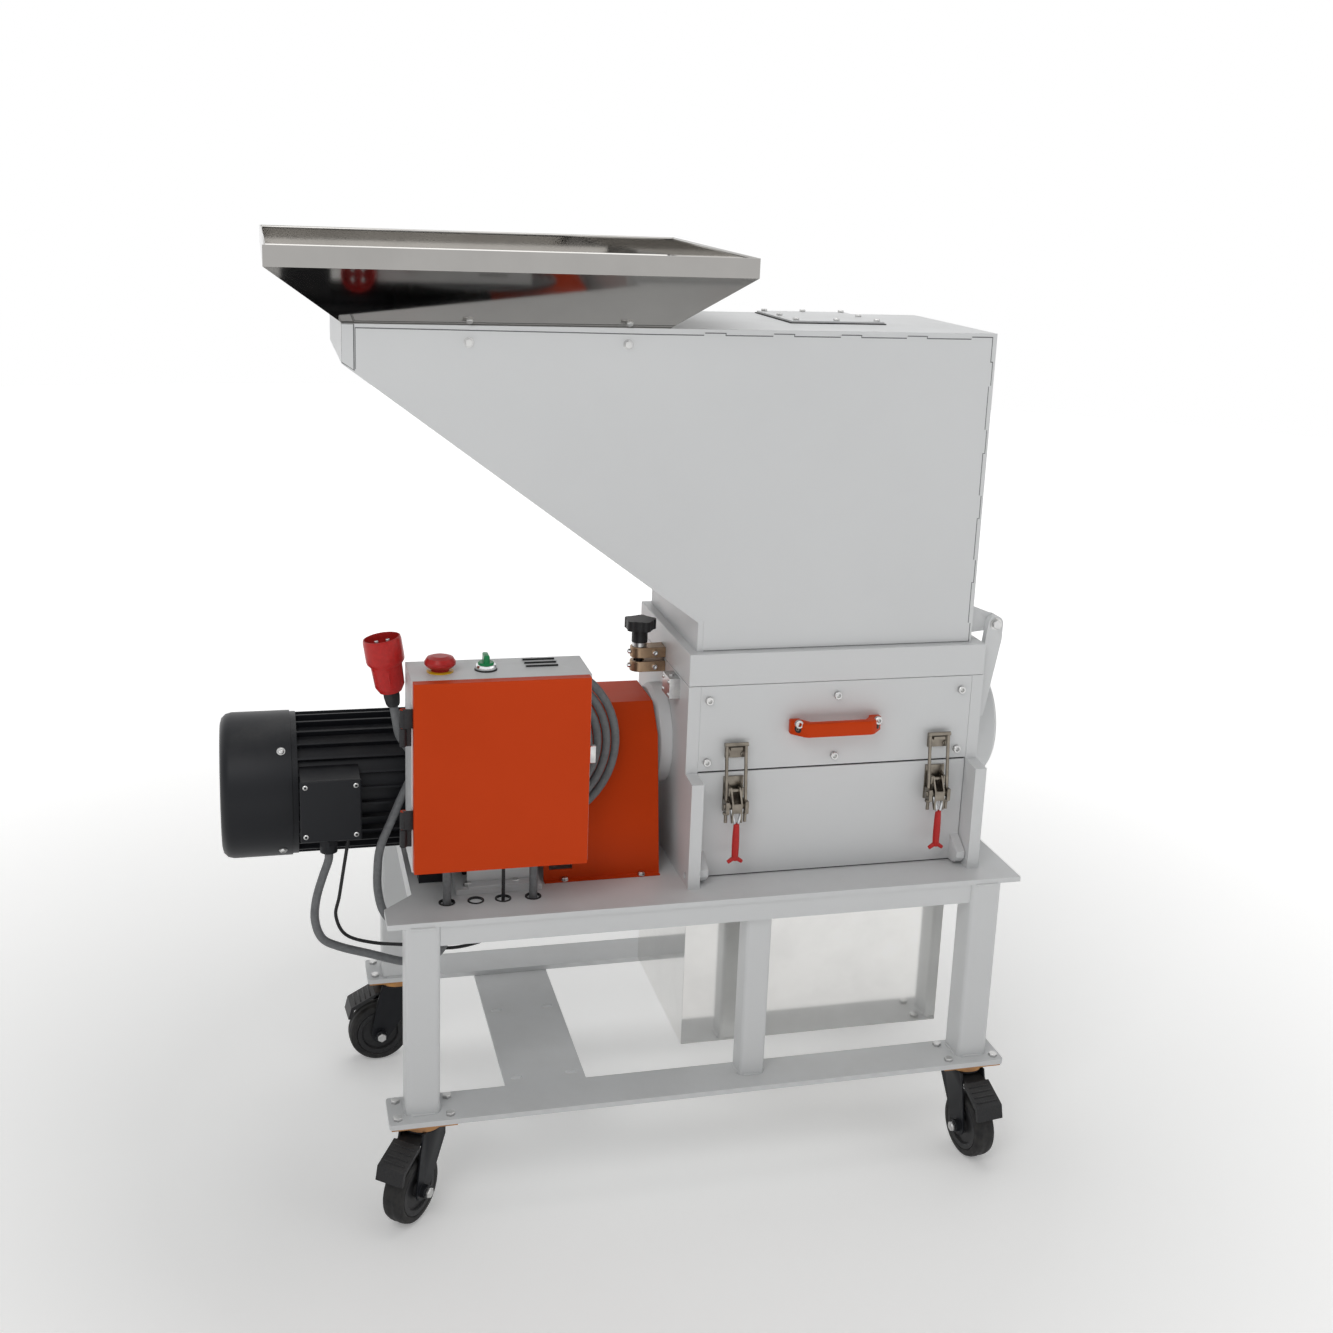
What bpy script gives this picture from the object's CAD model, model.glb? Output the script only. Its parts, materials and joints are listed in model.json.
"""Dresses the plastic granulator: finishes, fasteners, cables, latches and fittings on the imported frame."""
import json
import logging
import math
from dataclasses import dataclass, field
from enum import Enum
from typing import Sequence

import bmesh
import bpy
from mathutils import Matrix, Vector


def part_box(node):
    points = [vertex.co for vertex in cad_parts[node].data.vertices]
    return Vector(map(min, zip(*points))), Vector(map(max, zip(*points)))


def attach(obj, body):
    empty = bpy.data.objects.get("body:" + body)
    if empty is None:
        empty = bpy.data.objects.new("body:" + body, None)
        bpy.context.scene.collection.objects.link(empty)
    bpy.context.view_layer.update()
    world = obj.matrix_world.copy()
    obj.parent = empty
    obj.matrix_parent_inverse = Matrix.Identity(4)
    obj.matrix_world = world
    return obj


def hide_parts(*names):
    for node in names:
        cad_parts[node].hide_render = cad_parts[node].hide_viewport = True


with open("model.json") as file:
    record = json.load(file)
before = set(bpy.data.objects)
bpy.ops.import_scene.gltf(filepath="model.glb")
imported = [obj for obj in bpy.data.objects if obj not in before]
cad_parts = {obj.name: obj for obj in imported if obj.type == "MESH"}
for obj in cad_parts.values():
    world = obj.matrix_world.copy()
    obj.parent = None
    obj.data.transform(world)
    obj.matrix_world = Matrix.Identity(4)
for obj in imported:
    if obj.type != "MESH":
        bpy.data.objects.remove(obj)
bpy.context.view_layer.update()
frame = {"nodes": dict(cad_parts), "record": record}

MM = 0.001
UP = Vector((0, 0, 1))
FORWARD = Vector((0, -1, 0))
LEFT = Vector((-1, 0, 0))
AXIS_Y = 228.5  # the drive's axis, in millimetres behind the tabletop's front edge
FLOOR_Z = -450.0  # the floor, in millimetres above the tabletop
ROUTE_STEPS = 6  # steps to each stretch of a cable's route
SHARP_DEG = 38.0  # edges sharper than this stay hard
FLAT_DEG = 0.6  # faces flatter than this to each other are joined
WELD_DIST = 1e-6  # vertices nearer than this are one, in metres
THIN_DIST = 1e-5  # faces thinner than this are dissolved, in metres
MIX_INPUTS = (0, 6, 7)  # factor and colours of a Mix node that mixes colours
MIX_RESULT = 2
LOG = logging.getLogger("granulator")

Point = tuple[float, float, float]
Colour = tuple[float, float, float]


@dataclass(frozen=True)
class Layout:
    """Measures of the machine, in millimetres from the tabletop's front left corner.

    Args:
        corner: The tabletop's front left corner on its top face, in metres.
    """

    corner: Vector

    def at(self, x: float, y: float, z: float) -> Vector:
        """Point of the frame, in metres."""
        return self.corner + Vector((x, y, z)) * MM


def read_layout() -> Layout:
    """Finds the tabletop's front left corner in the frame.

    Returns:
        The layout.
    """
    low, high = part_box("tabletop")
    return Layout(Vector((low[0], low[1], high[2])))


LAYOUT = read_layout()
at = LAYOUT.at
BODY_OF = {node: body for body, nodes in frame["record"]["behaviour"]["bodies"].items() for node in nodes}
SLOT_OF = {part["node"]: part["material_slot"] for part in frame["record"]["subparts"]}


# Effects that several finishes share

class Effect(Enum):
    """Shader node groups by name."""

    PEEL = "paint_peel"
    DUST = "settled_dust"
    BRUSH = "brush_lines"
    MOTTLE = "mottle"


def new_group(name: str, inputs: Sequence[tuple[str, str, object]],
              outputs: Sequence[tuple[str, str]]) -> bpy.types.NodeTree:
    """Makes an empty shader node group.

    Args:
        name: The group's name.
        inputs: Name, socket type and default of each input.
        outputs: Name and socket type of each output.

    Returns:
        The group, with its input and output nodes.
    """
    group = bpy.data.node_groups.new(name, "ShaderNodeTree")
    for label, kind, default in inputs:
        socket = group.interface.new_socket(label, in_out="INPUT", socket_type=kind)
        socket.default_value = default
    for label, kind in outputs:
        group.interface.new_socket(label, in_out="OUTPUT", socket_type=kind)
    group.nodes.new("NodeGroupInput").name = "in"
    group.nodes.new("NodeGroupOutput").name = "out"
    return group


def noise_node(group: bpy.types.NodeTree, scale: float, detail: float, roughness: float) -> bpy.types.Node:
    """Adds a noise texture on Object coordinates and returns it."""
    coords = group.nodes.new("ShaderNodeTexCoord")
    noise = group.nodes.new("ShaderNodeTexNoise")
    noise.inputs["Scale"].default_value = scale
    noise.inputs["Detail"].default_value = detail
    noise.inputs["Roughness"].default_value = roughness
    group.links.new(coords.outputs["Object"], noise.inputs["Vector"])
    return noise


def ramp_node(group: bpy.types.NodeTree, source: bpy.types.NodeSocket, low: float, high: float,
              to_low: float = 0.0, to_high: float = 1.0) -> bpy.types.Node:
    """Adds a clamped map of a value from one range to another."""
    node = group.nodes.new("ShaderNodeMapRange")
    node.inputs["From Min"].default_value = low
    node.inputs["From Max"].default_value = high
    node.inputs["To Min"].default_value = to_low
    node.inputs["To Max"].default_value = to_high
    group.links.new(source, node.inputs["Value"])
    return node


def math_node(group: bpy.types.NodeTree, operation: str, first: object, second: object) -> bpy.types.Node:
    """Adds an operation on two values, each a socket or a number."""
    node = group.nodes.new("ShaderNodeMath")
    node.operation = operation
    for index, value in enumerate((first, second)):
        if isinstance(value, bpy.types.NodeSocket):
            group.links.new(value, node.inputs[index])
        else:
            node.inputs[index].default_value = value
    return node


def mix_node(group: bpy.types.NodeTree, factor: object, first: object, second: object) -> bpy.types.Node:
    """Adds a colour mix, each input a socket or a value."""
    node = group.nodes.new("ShaderNodeMix")
    node.data_type = "RGBA"
    for index, value in zip(MIX_INPUTS, (factor, first, second)):
        if isinstance(value, bpy.types.NodeSocket):
            group.links.new(value, node.inputs[index])
        else:
            node.inputs[index].default_value = value
    return node


def build_peel() -> bpy.types.NodeTree:
    """Sprayed paint: a cloudy tint, an uneven gloss and a fine orange-peel height."""
    group = new_group(Effect.PEEL.value,
                      [("Color", "NodeSocketColor", (0.8, 0.8, 0.8, 1)), ("Tint", "NodeSocketFloat", 0.06),
                       ("Roughness", "NodeSocketFloat", 0.35)],
                      [("Color", "NodeSocketColor"), ("Roughness", "NodeSocketFloat"),
                       ("Height", "NodeSocketFloat")])
    start, end = group.nodes["in"], group.nodes["out"]
    cloud = noise_node(group, 5.0, 4.0, 0.55)
    fine = noise_node(group, 650.0, 2.0, 0.5)
    shade = math_node(group, "MULTIPLY", ramp_node(group, cloud.outputs["Fac"], 0.3, 0.7).outputs["Result"],
                      start.outputs["Tint"])
    dark = group.nodes.new("ShaderNodeHueSaturation")
    dark.inputs["Value"].default_value = 0.45
    group.links.new(start.outputs["Color"], dark.inputs["Color"])
    mix = mix_node(group, shade.outputs[0], start.outputs["Color"], dark.outputs["Color"])
    uneven = ramp_node(group, cloud.outputs["Fac"], 0.3, 0.7, -0.04, 0.06)
    gloss = math_node(group, "ADD", start.outputs["Roughness"], uneven.outputs["Result"])
    group.links.new(mix.outputs[MIX_RESULT], end.inputs["Color"])
    group.links.new(gloss.outputs[0], end.inputs["Roughness"])
    group.links.new(fine.outputs["Fac"], end.inputs["Height"])
    return group


def build_dust() -> bpy.types.NodeTree:
    """Dust and grime: light dust on faces that look up, and grime in broad patches."""
    group = new_group(Effect.DUST.value,
                      [("Color", "NodeSocketColor", (0.8, 0.8, 0.8, 1)),
                       ("Roughness", "NodeSocketFloat", 0.4), ("Amount", "NodeSocketFloat", 0.2)],
                      [("Color", "NodeSocketColor"), ("Roughness", "NodeSocketFloat")])
    start, end = group.nodes["in"], group.nodes["out"]
    shape = group.nodes.new("ShaderNodeNewGeometry")
    split = group.nodes.new("ShaderNodeSeparateXYZ")
    group.links.new(shape.outputs["Normal"], split.inputs[0])
    upward = ramp_node(group, split.outputs["Z"], 0.55, 0.98)
    patch = ramp_node(group, noise_node(group, 14.0, 6.0, 0.65).outputs["Fac"], 0.42, 0.72)
    cover = math_node(group, "MULTIPLY", upward.outputs["Result"], patch.outputs["Result"])
    amount = math_node(group, "MULTIPLY", cover.outputs[0], start.outputs["Amount"])
    mix = mix_node(group, amount.outputs[0], start.outputs["Color"], (0.42, 0.40, 0.36, 1))
    rough = math_node(group, "MULTIPLY_ADD", amount.outputs[0], 0.35)
    group.links.new(start.outputs["Roughness"], rough.inputs[2])
    group.links.new(mix.outputs[MIX_RESULT], end.inputs["Color"])
    group.links.new(rough.outputs[0], end.inputs["Roughness"])
    return group


def build_brush() -> bpy.types.NodeTree:
    """Fine lines of rolled or ground metal along one axis."""
    group = new_group(Effect.BRUSH.value,
                      [("Stretch", "NodeSocketVector", (1.0, 40.0, 40.0)),
                       ("Roughness", "NodeSocketFloat", 0.2), ("Spread", "NodeSocketFloat", 0.08)],
                      [("Roughness", "NodeSocketFloat"), ("Height", "NodeSocketFloat")])
    start, end = group.nodes["in"], group.nodes["out"]
    coords = group.nodes.new("ShaderNodeTexCoord")
    scale = group.nodes.new("ShaderNodeVectorMath")
    scale.operation = "MULTIPLY"
    noise = group.nodes.new("ShaderNodeTexNoise")
    noise.inputs["Scale"].default_value = 12.0
    noise.inputs["Detail"].default_value = 5.0
    group.links.new(coords.outputs["Object"], scale.inputs[0])
    group.links.new(start.outputs["Stretch"], scale.inputs[1])
    group.links.new(scale.outputs[0], noise.inputs["Vector"])
    centred = math_node(group, "SUBTRACT", noise.outputs["Fac"], 0.5)
    spread = math_node(group, "MULTIPLY", centred.outputs[0], start.outputs["Spread"])
    rough = math_node(group, "ADD", spread.outputs[0], start.outputs["Roughness"])
    group.links.new(rough.outputs[0], end.inputs["Roughness"])
    group.links.new(noise.outputs["Fac"], end.inputs["Height"])
    return group


def build_mottle() -> bpy.types.NodeTree:
    """Two colours in soft flecks, as on plated or cast metal and on moulded rubber."""
    group = new_group(Effect.MOTTLE.value,
                      [("Color", "NodeSocketColor", (0.5, 0.5, 0.5, 1)),
                       ("Fleck", "NodeSocketColor", (0.4, 0.4, 0.4, 1)),
                       ("Scale", "NodeSocketFloat", 60.0), ("Roughness", "NodeSocketFloat", 0.4),
                       ("Spread", "NodeSocketFloat", 0.1)],
                      [("Color", "NodeSocketColor"), ("Roughness", "NodeSocketFloat"),
                       ("Height", "NodeSocketFloat")])
    start, end = group.nodes["in"], group.nodes["out"]
    noise = noise_node(group, 60.0, 4.0, 0.6)
    group.links.new(start.outputs["Scale"], noise.inputs["Scale"])
    fleck = ramp_node(group, noise.outputs["Fac"], 0.38, 0.64)
    mix = mix_node(group, fleck.outputs["Result"], start.outputs["Color"], start.outputs["Fleck"])
    centred = math_node(group, "SUBTRACT", noise.outputs["Fac"], 0.5)
    spread = math_node(group, "MULTIPLY", centred.outputs[0], start.outputs["Spread"])
    rough = math_node(group, "ADD", spread.outputs[0], start.outputs["Roughness"])
    group.links.new(mix.outputs[MIX_RESULT], end.inputs["Color"])
    group.links.new(rough.outputs[0], end.inputs["Roughness"])
    group.links.new(noise.outputs["Fac"], end.inputs["Height"])
    return group


EFFECTS = {Effect.PEEL: build_peel(), Effect.DUST: build_dust(), Effect.BRUSH: build_brush(),
           Effect.MOTTLE: build_mottle()}


def start_material(name: str) -> tuple[bpy.types.Material, bpy.types.NodeTree, bpy.types.Node]:
    """Makes a node material.

    Args:
        name: The material's name.

    Returns:
        The material, its node tree and its Principled shader.
    """
    material = bpy.data.materials.new(name)
    material.use_nodes = True
    tree = material.node_tree
    return material, tree, tree.nodes["Principled BSDF"]


def place_effect(tree: bpy.types.NodeTree, effect: Effect, **values: object) -> bpy.types.Node:
    """Puts a shared effect into a material.

    Args:
        tree: The material's node tree.
        effect: The effect.
        values: Input values by name; a socket is linked.

    Returns:
        The group node.
    """
    node = tree.nodes.new("ShaderNodeGroup")
    node.node_tree = EFFECTS[effect]
    for name, value in values.items():
        if isinstance(value, bpy.types.NodeSocket):
            tree.links.new(value, node.inputs[name])
        else:
            node.inputs[name].default_value = value
    return node


def add_bump(tree: bpy.types.NodeTree, shader: bpy.types.Node, height: bpy.types.NodeSocket,
             strength: float, distance: float) -> None:
    """Feeds a height through a Bump node into the shader's normal."""
    bump = tree.nodes.new("ShaderNodeBump")
    bump.inputs["Strength"].default_value = strength
    bump.inputs["Distance"].default_value = distance
    tree.links.new(height, bump.inputs["Height"])
    tree.links.new(bump.outputs["Normal"], shader.inputs["Normal"])


@dataclass(frozen=True)
class PaintFinish:
    """Sprayed enamel.

    Args:
        name: The material's name.
        colour: Its colour.
        roughness: Its mean roughness.
        tint: How much the colour clouds.
        dust: How much dust lies on upward faces.
        metallic: How metallic it is.
        shine: How strongly it mirrors what is in front of it.
    """

    name: str
    colour: Colour
    roughness: float = 0.34
    tint: float = 0.08
    dust: float = 0.12
    metallic: float = 0.0
    shine: float = 0.3

    def make(self) -> bpy.types.Material:
        """Builds the material."""
        material, tree, shader = start_material(self.name)
        peel = place_effect(tree, Effect.PEEL, Color=(*self.colour, 1), Tint=self.tint,
                            Roughness=self.roughness)
        dust = place_effect(tree, Effect.DUST, Color=peel.outputs["Color"],
                            Roughness=peel.outputs["Roughness"], Amount=self.dust)
        tree.links.new(dust.outputs["Color"], shader.inputs["Base Color"])
        tree.links.new(dust.outputs["Roughness"], shader.inputs["Roughness"])
        shader.inputs["Metallic"].default_value = self.metallic
        shader.inputs["Specular IOR Level"].default_value = self.shine
        add_bump(tree, shader, peel.outputs["Height"], 0.08, 0.0004)
        return material


@dataclass(frozen=True)
class SteelFinish:
    """Bare or polished metal sheet.

    Args:
        name: The material's name.
        colour: Its colour.
        roughness: Its mean roughness.
        spread: How much the roughness varies.
        stretch: Squeeze of the grain along X, Y and Z.
        grain: Strength of the grain's bump.
    """

    name: str
    colour: Colour
    roughness: float = 0.12
    spread: float = 0.05
    stretch: Point = (1.0, 1.0, 30.0)
    grain: float = 0.02

    def make(self) -> bpy.types.Material:
        """Builds the material."""
        material, tree, shader = start_material(self.name)
        brush = place_effect(tree, Effect.BRUSH, Stretch=self.stretch, Roughness=self.roughness,
                             Spread=self.spread)
        shader.inputs["Metallic"].default_value = 1.0
        mottle = place_effect(tree, Effect.MOTTLE, Color=(*self.colour, 1), Scale=9.0,
                              Fleck=(*(0.93 * c for c in self.colour), 1))
        tree.links.new(mottle.outputs["Color"], shader.inputs["Base Color"])
        tree.links.new(brush.outputs["Roughness"], shader.inputs["Roughness"])
        add_bump(tree, shader, brush.outputs["Height"], self.grain, 0.0003)
        return material


@dataclass(frozen=True)
class FleckFinish:
    """Cast, plated, moulded or rubber surface with soft flecks.

    Args:
        name: The material's name.
        colour: Its colour.
        fleck: The flecks' colour.
        roughness: Its mean roughness.
        scale: How fine the flecks are.
        bump: Strength of the flecks' bump.
        metallic: How metallic it is.
        dust: How much dust lies on upward faces.
    """

    name: str
    colour: Colour
    fleck: Colour
    roughness: float = 0.45
    scale: float = 80.0
    bump: float = 0.1
    metallic: float = 0.0
    dust: float = 0.1

    def make(self) -> bpy.types.Material:
        """Builds the material."""
        material, tree, shader = start_material(self.name)
        mottle = place_effect(tree, Effect.MOTTLE, Color=(*self.colour, 1), Fleck=(*self.fleck, 1),
                              Scale=self.scale, Roughness=self.roughness, Spread=0.12)
        dust = place_effect(tree, Effect.DUST, Color=mottle.outputs["Color"],
                            Roughness=mottle.outputs["Roughness"], Amount=self.dust)
        tree.links.new(dust.outputs["Color"], shader.inputs["Base Color"])
        tree.links.new(dust.outputs["Roughness"], shader.inputs["Roughness"])
        shader.inputs["Metallic"].default_value = self.metallic
        shader.inputs["Specular IOR Level"].default_value = 0.5 if self.metallic else 0.22
        add_bump(tree, shader, mottle.outputs["Height"], self.bump, 0.0005)
        return material


class Look(Enum):
    """Every finish of the machine."""

    WHITE = PaintFinish("white_enamel", (0.70, 0.71, 0.715), 0.36, 0.05, 0.10)
    ORANGE = PaintFinish("orange_enamel", (0.60, 0.050, 0.002), 0.42, 0.12, 0.05, 0.0, 0.12)
    DARK = PaintFinish("charcoal_enamel", (0.012, 0.013, 0.016), 0.40, 0.25, 0.05, 0.0, 0.2)
    MIRROR = SteelFinish("polished_sheet", (0.40, 0.39, 0.375), 0.06, 0.03, (1.0, 1.0, 18.0), 0.008)
    SHEET = SteelFinish("bright_sheet", (0.86, 0.855, 0.84), 0.10, 0.05, (1.0, 1.0, 18.0), 0.008)
    STEEL = SteelFinish("ground_steel", (0.55, 0.56, 0.57), 0.30, 0.16, (1.0, 30.0, 30.0), 0.06)
    ZINC = FleckFinish("zinc_plate", (0.58, 0.58, 0.57), (0.48, 0.48, 0.48), 0.30, 90.0, 0.04, 1.0, 0.05)
    NICKEL = FleckFinish("dull_nickel", (0.24, 0.215, 0.18), (0.17, 0.15, 0.125), 0.32, 60.0, 0.06, 1.0, 0.05)
    YELLOW_ZINC = FleckFinish("yellow_passivate", (0.50, 0.26, 0.09), (0.38, 0.20, 0.10), 0.34, 40.0, 0.05,
                              1.0, 0.08)
    BRONZE = FleckFinish("bronze_block", (0.36, 0.25, 0.16), (0.28, 0.19, 0.12), 0.34, 50.0, 0.05, 0.9, 0.05)
    RUBBER = FleckFinish("black_tyre", (0.018, 0.018, 0.019), (0.035, 0.034, 0.033), 0.62, 70.0, 0.12, 0.0,
                         0.25)
    BLACK = FleckFinish("black_moulding", (0.022, 0.022, 0.024), (0.030, 0.030, 0.031), 0.40, 400.0, 0.10,
                        0.0, 0.10)
    RED = FleckFinish("red_moulding", (0.52, 0.022, 0.020), (0.44, 0.020, 0.018), 0.30, 200.0, 0.05, 0.0,
                      0.06)
    YELLOW = FleckFinish("yellow_moulding", (0.80, 0.50, 0.02), (0.72, 0.44, 0.02), 0.32, 200.0, 0.05, 0.0,
                         0.06)
    GREEN = FleckFinish("green_moulding", (0.015, 0.30, 0.10), (0.012, 0.25, 0.08), 0.28, 200.0, 0.05, 0.0,
                        0.05)
    GREY_SHEATH = FleckFinish("grey_sheath", (0.17, 0.175, 0.18), (0.14, 0.145, 0.15), 0.48, 160.0, 0.10,
                              0.0, 0.10)
    CHROME = SteelFinish("chrome", (0.80, 0.81, 0.82), 0.07, 0.03, (8.0, 8.0, 8.0), 0.01)

    @property
    def material(self) -> bpy.types.Material:
        """The finish's material, built on its first use."""
        return bpy.data.materials.get(self.value.name) or self.value.make()


LOOK_OF_SLOT = {"white_paint": Look.WHITE, "orange_paint": Look.ORANGE, "dark_paint": Look.DARK,
                "stainless": Look.MIRROR, "steel": Look.STEEL, "zinc": Look.ZINC,
                "yellow_zinc": Look.YELLOW_ZINC, "black_rubber": Look.RUBBER, "black_plastic": Look.BLACK,
                "red_plastic": Look.RED, "green_plastic": Look.GREEN, "grey_cable": Look.GREY_SHEATH,
                "bronze": Look.BRONZE}


# Mesh work

def frame_along(origin: Vector, axis: Vector) -> Matrix:
    """Matrix that stands local Z on an axis at a point."""
    return Matrix.Translation(origin) @ axis.normalized().to_track_quat("Z", "Y").to_matrix().to_4x4()


class Shaper:
    """Builds one piece with bmesh operators, in metres in the row's frame.

    Args:
        name: The piece's name.
    """

    def __init__(self, name: str) -> None:
        self.name = name
        self.bm = bmesh.new()

    def box(self, low: Vector, high: Vector, bevel: float = 0.0,
            segments: int = 2) -> list[bmesh.types.BMVert]:
        """Adds a block between two corners, with rounded edges.

        Args:
            low: One corner.
            high: The opposite corner.
            bevel: Width of its rounded edges.
            segments: Steps of the rounding.

        Returns:
            Its corner vertices before rounding.
        """
        verts = bmesh.ops.create_cube(self.bm, size=1.0)["verts"]
        size = Vector(tuple(abs(b - a) for a, b in zip(low, high)))
        bmesh.ops.scale(self.bm, vec=size, verts=verts)
        bmesh.ops.translate(self.bm, vec=(Vector(low) + Vector(high)) / 2, verts=verts)
        if bevel:
            self.round_edges(list({e for v in verts for e in v.link_edges}), bevel, segments)
        return verts

    def round_edges(self, edges: list[bmesh.types.BMEdge], width: float, segments: int = 2) -> None:
        """Rounds the edges given."""
        bmesh.ops.bevel(self.bm, geom=edges, offset=width, offset_type="OFFSET", segments=segments,
                        profile=0.5, affect="EDGES", clamp_overlap=True, material=-1)

    def rod(self, start: Vector, end: Vector, radius: float, end_radius: float | None = None, sides: int = 32,
            bevel: float = 0.0) -> None:
        """Adds a rod or a cone between two points.

        Args:
            start: Middle of its first end.
            end: Middle of its other end.
            radius: Radius at its first end.
            end_radius: Radius at its other end, the same if left out.
            sides: Number of its sides.
            bevel: Width of its rounded rims.
        """
        axis = end - start
        made = bmesh.ops.create_cone(self.bm, cap_ends=True, cap_tris=False, segments=sides, radius1=radius,
                                     radius2=radius if end_radius is None else end_radius, depth=axis.length,
                                     matrix=frame_along((start + end) / 2, axis))["verts"]
        if bevel:
            rims = [e for e in {e for v in made for e in v.link_edges}
                    if any(len(f.verts) > 4 for f in e.link_faces)]
            self.round_edges(rims, bevel)

    def turned(self, origin: Vector, axis: Vector, profile: Sequence[tuple[float, float]],
               steps: int = 40) -> None:
        """Adds a turned shape.

        Args:
            origin: Point from which the profile's places along the axis count.
            axis: Its axis.
            profile: Radius and place along the axis of each point, in millimetres.
            steps: Steps round the axis.
        """
        place = frame_along(origin, axis)
        verts = [self.bm.verts.new(place @ Vector((r * MM, 0, z * MM))) for r, z in profile]
        edges = [self.bm.edges.new(pair) for pair in zip(verts, verts[1:])]
        bmesh.ops.spin(self.bm, geom=verts + edges, cent=origin, axis=axis.normalized(), dvec=(0, 0, 0),
                       angle=math.tau, steps=steps, use_merge=True, use_duplicate=False)

    def sheet(self, points: Sequence[Vector], depth: Vector, bevel: float = 0.0) -> None:
        """Adds a flat outline drawn out to a thickness.

        Args:
            points: The outline's corners in order.
            depth: The way and length that it is drawn out.
            bevel: Width of its rounded edges.
        """
        face = self.bm.faces.new([self.bm.verts.new(p) for p in points])
        made = bmesh.ops.extrude_face_region(self.bm, geom=[face])["geom"]
        top = [g for g in made if isinstance(g, bmesh.types.BMVert)]
        bmesh.ops.translate(self.bm, vec=depth, verts=top)
        if bevel:
            edges = {e for v in list(face.verts) + top for e in v.link_edges}
            self.round_edges(list(edges), bevel)

    def done(self, look: Look, body: str, slot: str, replaces: Sequence[str] = (),
             angle: float = SHARP_DEG) -> bpy.types.Object:
        """Closes the mesh, gives it its finish and hangs it on its body.

        Args:
            look: Its finish.
            body: The body that it rides on.
            slot: The record's slot that its finish comes from.
            replaces: Nodes that it stands for.
            angle: Edges sharper than this stay hard, in degrees.

        Returns:
            The piece.
        """
        bmesh.ops.remove_doubles(self.bm, verts=self.bm.verts, dist=WELD_DIST)
        bmesh.ops.recalc_face_normals(self.bm, faces=self.bm.faces)
        for face in self.bm.faces:
            face.smooth = True
        for edge in self.bm.edges:
            edge.smooth = len(edge.link_faces) == 2 and edge.calc_face_angle(0.0) < math.radians(angle)
        mesh = bpy.data.meshes.new(self.name)
        self.bm.to_mesh(mesh)
        self.bm.free()
        piece = bpy.data.objects.new(self.name, mesh)
        bpy.context.scene.collection.objects.link(piece)
        mesh.materials.append(look.material)
        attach(piece, body)
        if replaces:
            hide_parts(*replaces)
        LOG.info("%s: %d faces on %s", self.name, len(mesh.polygons), body)
        return piece


def soften(node: str, width: float, look: Look, segments: int = 2, join: bool = True) -> bpy.types.Object:
    """Stands a copy of a node with rounded edges in the node's place.

    Args:
        node: The node.
        width: Width of the rounded edges, in millimetres.
        look: Its finish.
        segments: Steps of the rounding.
        join: Joins the triangles of each flat face; not for a face with a hole through it.

    Returns:
        The piece.
    """
    shaper = Shaper(node + "_dressed")
    shaper.bm.from_mesh(frame["nodes"][node].data)
    bmesh.ops.remove_doubles(shaper.bm, verts=shaper.bm.verts, dist=2 * WELD_DIST)
    bmesh.ops.dissolve_degenerate(shaper.bm, dist=THIN_DIST, edges=shaper.bm.edges)
    if join:
        bmesh.ops.dissolve_limit(
            shaper.bm, angle_limit=math.radians(FLAT_DEG), verts=shaper.bm.verts, edges=shaper.bm.edges
        )
    piece = shaper.done(look, BODY_OF[node], SLOT_OF[node], (node,))
    bevel = piece.modifiers.new("edges", "BEVEL")
    bevel.width = width * MM
    bevel.segments = segments
    bevel.limit_method = "ANGLE"
    bevel.angle_limit = math.radians(SHARP_DEG)
    bevel.harden_normals = True
    return piece


class Drive(Enum):
    """Shapes of a fastener's head."""

    HEX = "hex"
    SOCKET = "socket"
    PAN = "pan"


@dataclass
class Fasteners:
    """A set of like screws or bolts that ride on one body.

    Args:
        name: The piece's name.
        body: The body.
        drive: Shape of the heads.
        size: Thread diameter in millimetres.
        look: Finish of the heads.
        washer: Whether each has a washer.
        slot: The record's slot of the finish.
        places: Point and outward direction of each.
    """

    name: str
    body: str
    drive: Drive = Drive.PAN
    size: float = 5.0
    look: Look = Look.ZINC
    washer: bool = False
    slot: str = "zinc"
    places: list[tuple[Vector, Vector]] = field(default_factory=list)

    def add(self, point: Vector, way: Vector) -> None:
        """Adds one fastener on a point, its head facing a way."""
        self.places.append((point, way.normalized()))

    def build(self) -> bpy.types.Object:
        """Builds the set as one piece."""
        shaper = Shaper(self.name)
        for point, way in self.places:
            self.one(shaper, point, way)
        return shaper.done(self.look, self.body, self.slot)

    def one(self, shaper: Shaper, point: Vector, way: Vector) -> None:
        """Builds one fastener."""
        d = self.size
        base = point
        if self.washer:
            shaper.turned(point, way, [(0, 0), (1.15 * d, 0), (1.15 * d, 0.18 * d), (0, 0.2 * d)], 28)
            base = point + way * 0.18 * d * MM
        if self.drive is Drive.HEX:
            shaper.rod(base, base + way * 0.65 * d * MM, 0.95 * d * MM, sides=6, bevel=0.07 * d * MM)
            shaper.turned(base + way * 0.6 * d * MM, way,
                          [(0.8 * d, 0), (0.74 * d, 0.1 * d), (0, 0.12 * d)], 24)
        elif self.drive is Drive.SOCKET:
            shaper.turned(base, way, [(0.85 * d, 0), (0.85 * d, 0.75 * d), (0.76 * d, 0.85 * d),
                                      (0.46 * d, 0.85 * d), (0.44 * d, 0.3 * d), (0, 0.3 * d)], 24)
        else:
            shaper.turned(base, way, [(0.95 * d, 0), (0.93 * d, 0.2 * d), (0.75 * d, 0.45 * d),
                                      (0.42 * d, 0.55 * d), (0.4 * d, 0.25 * d), (0, 0.22 * d)], 24)


# Cables

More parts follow.
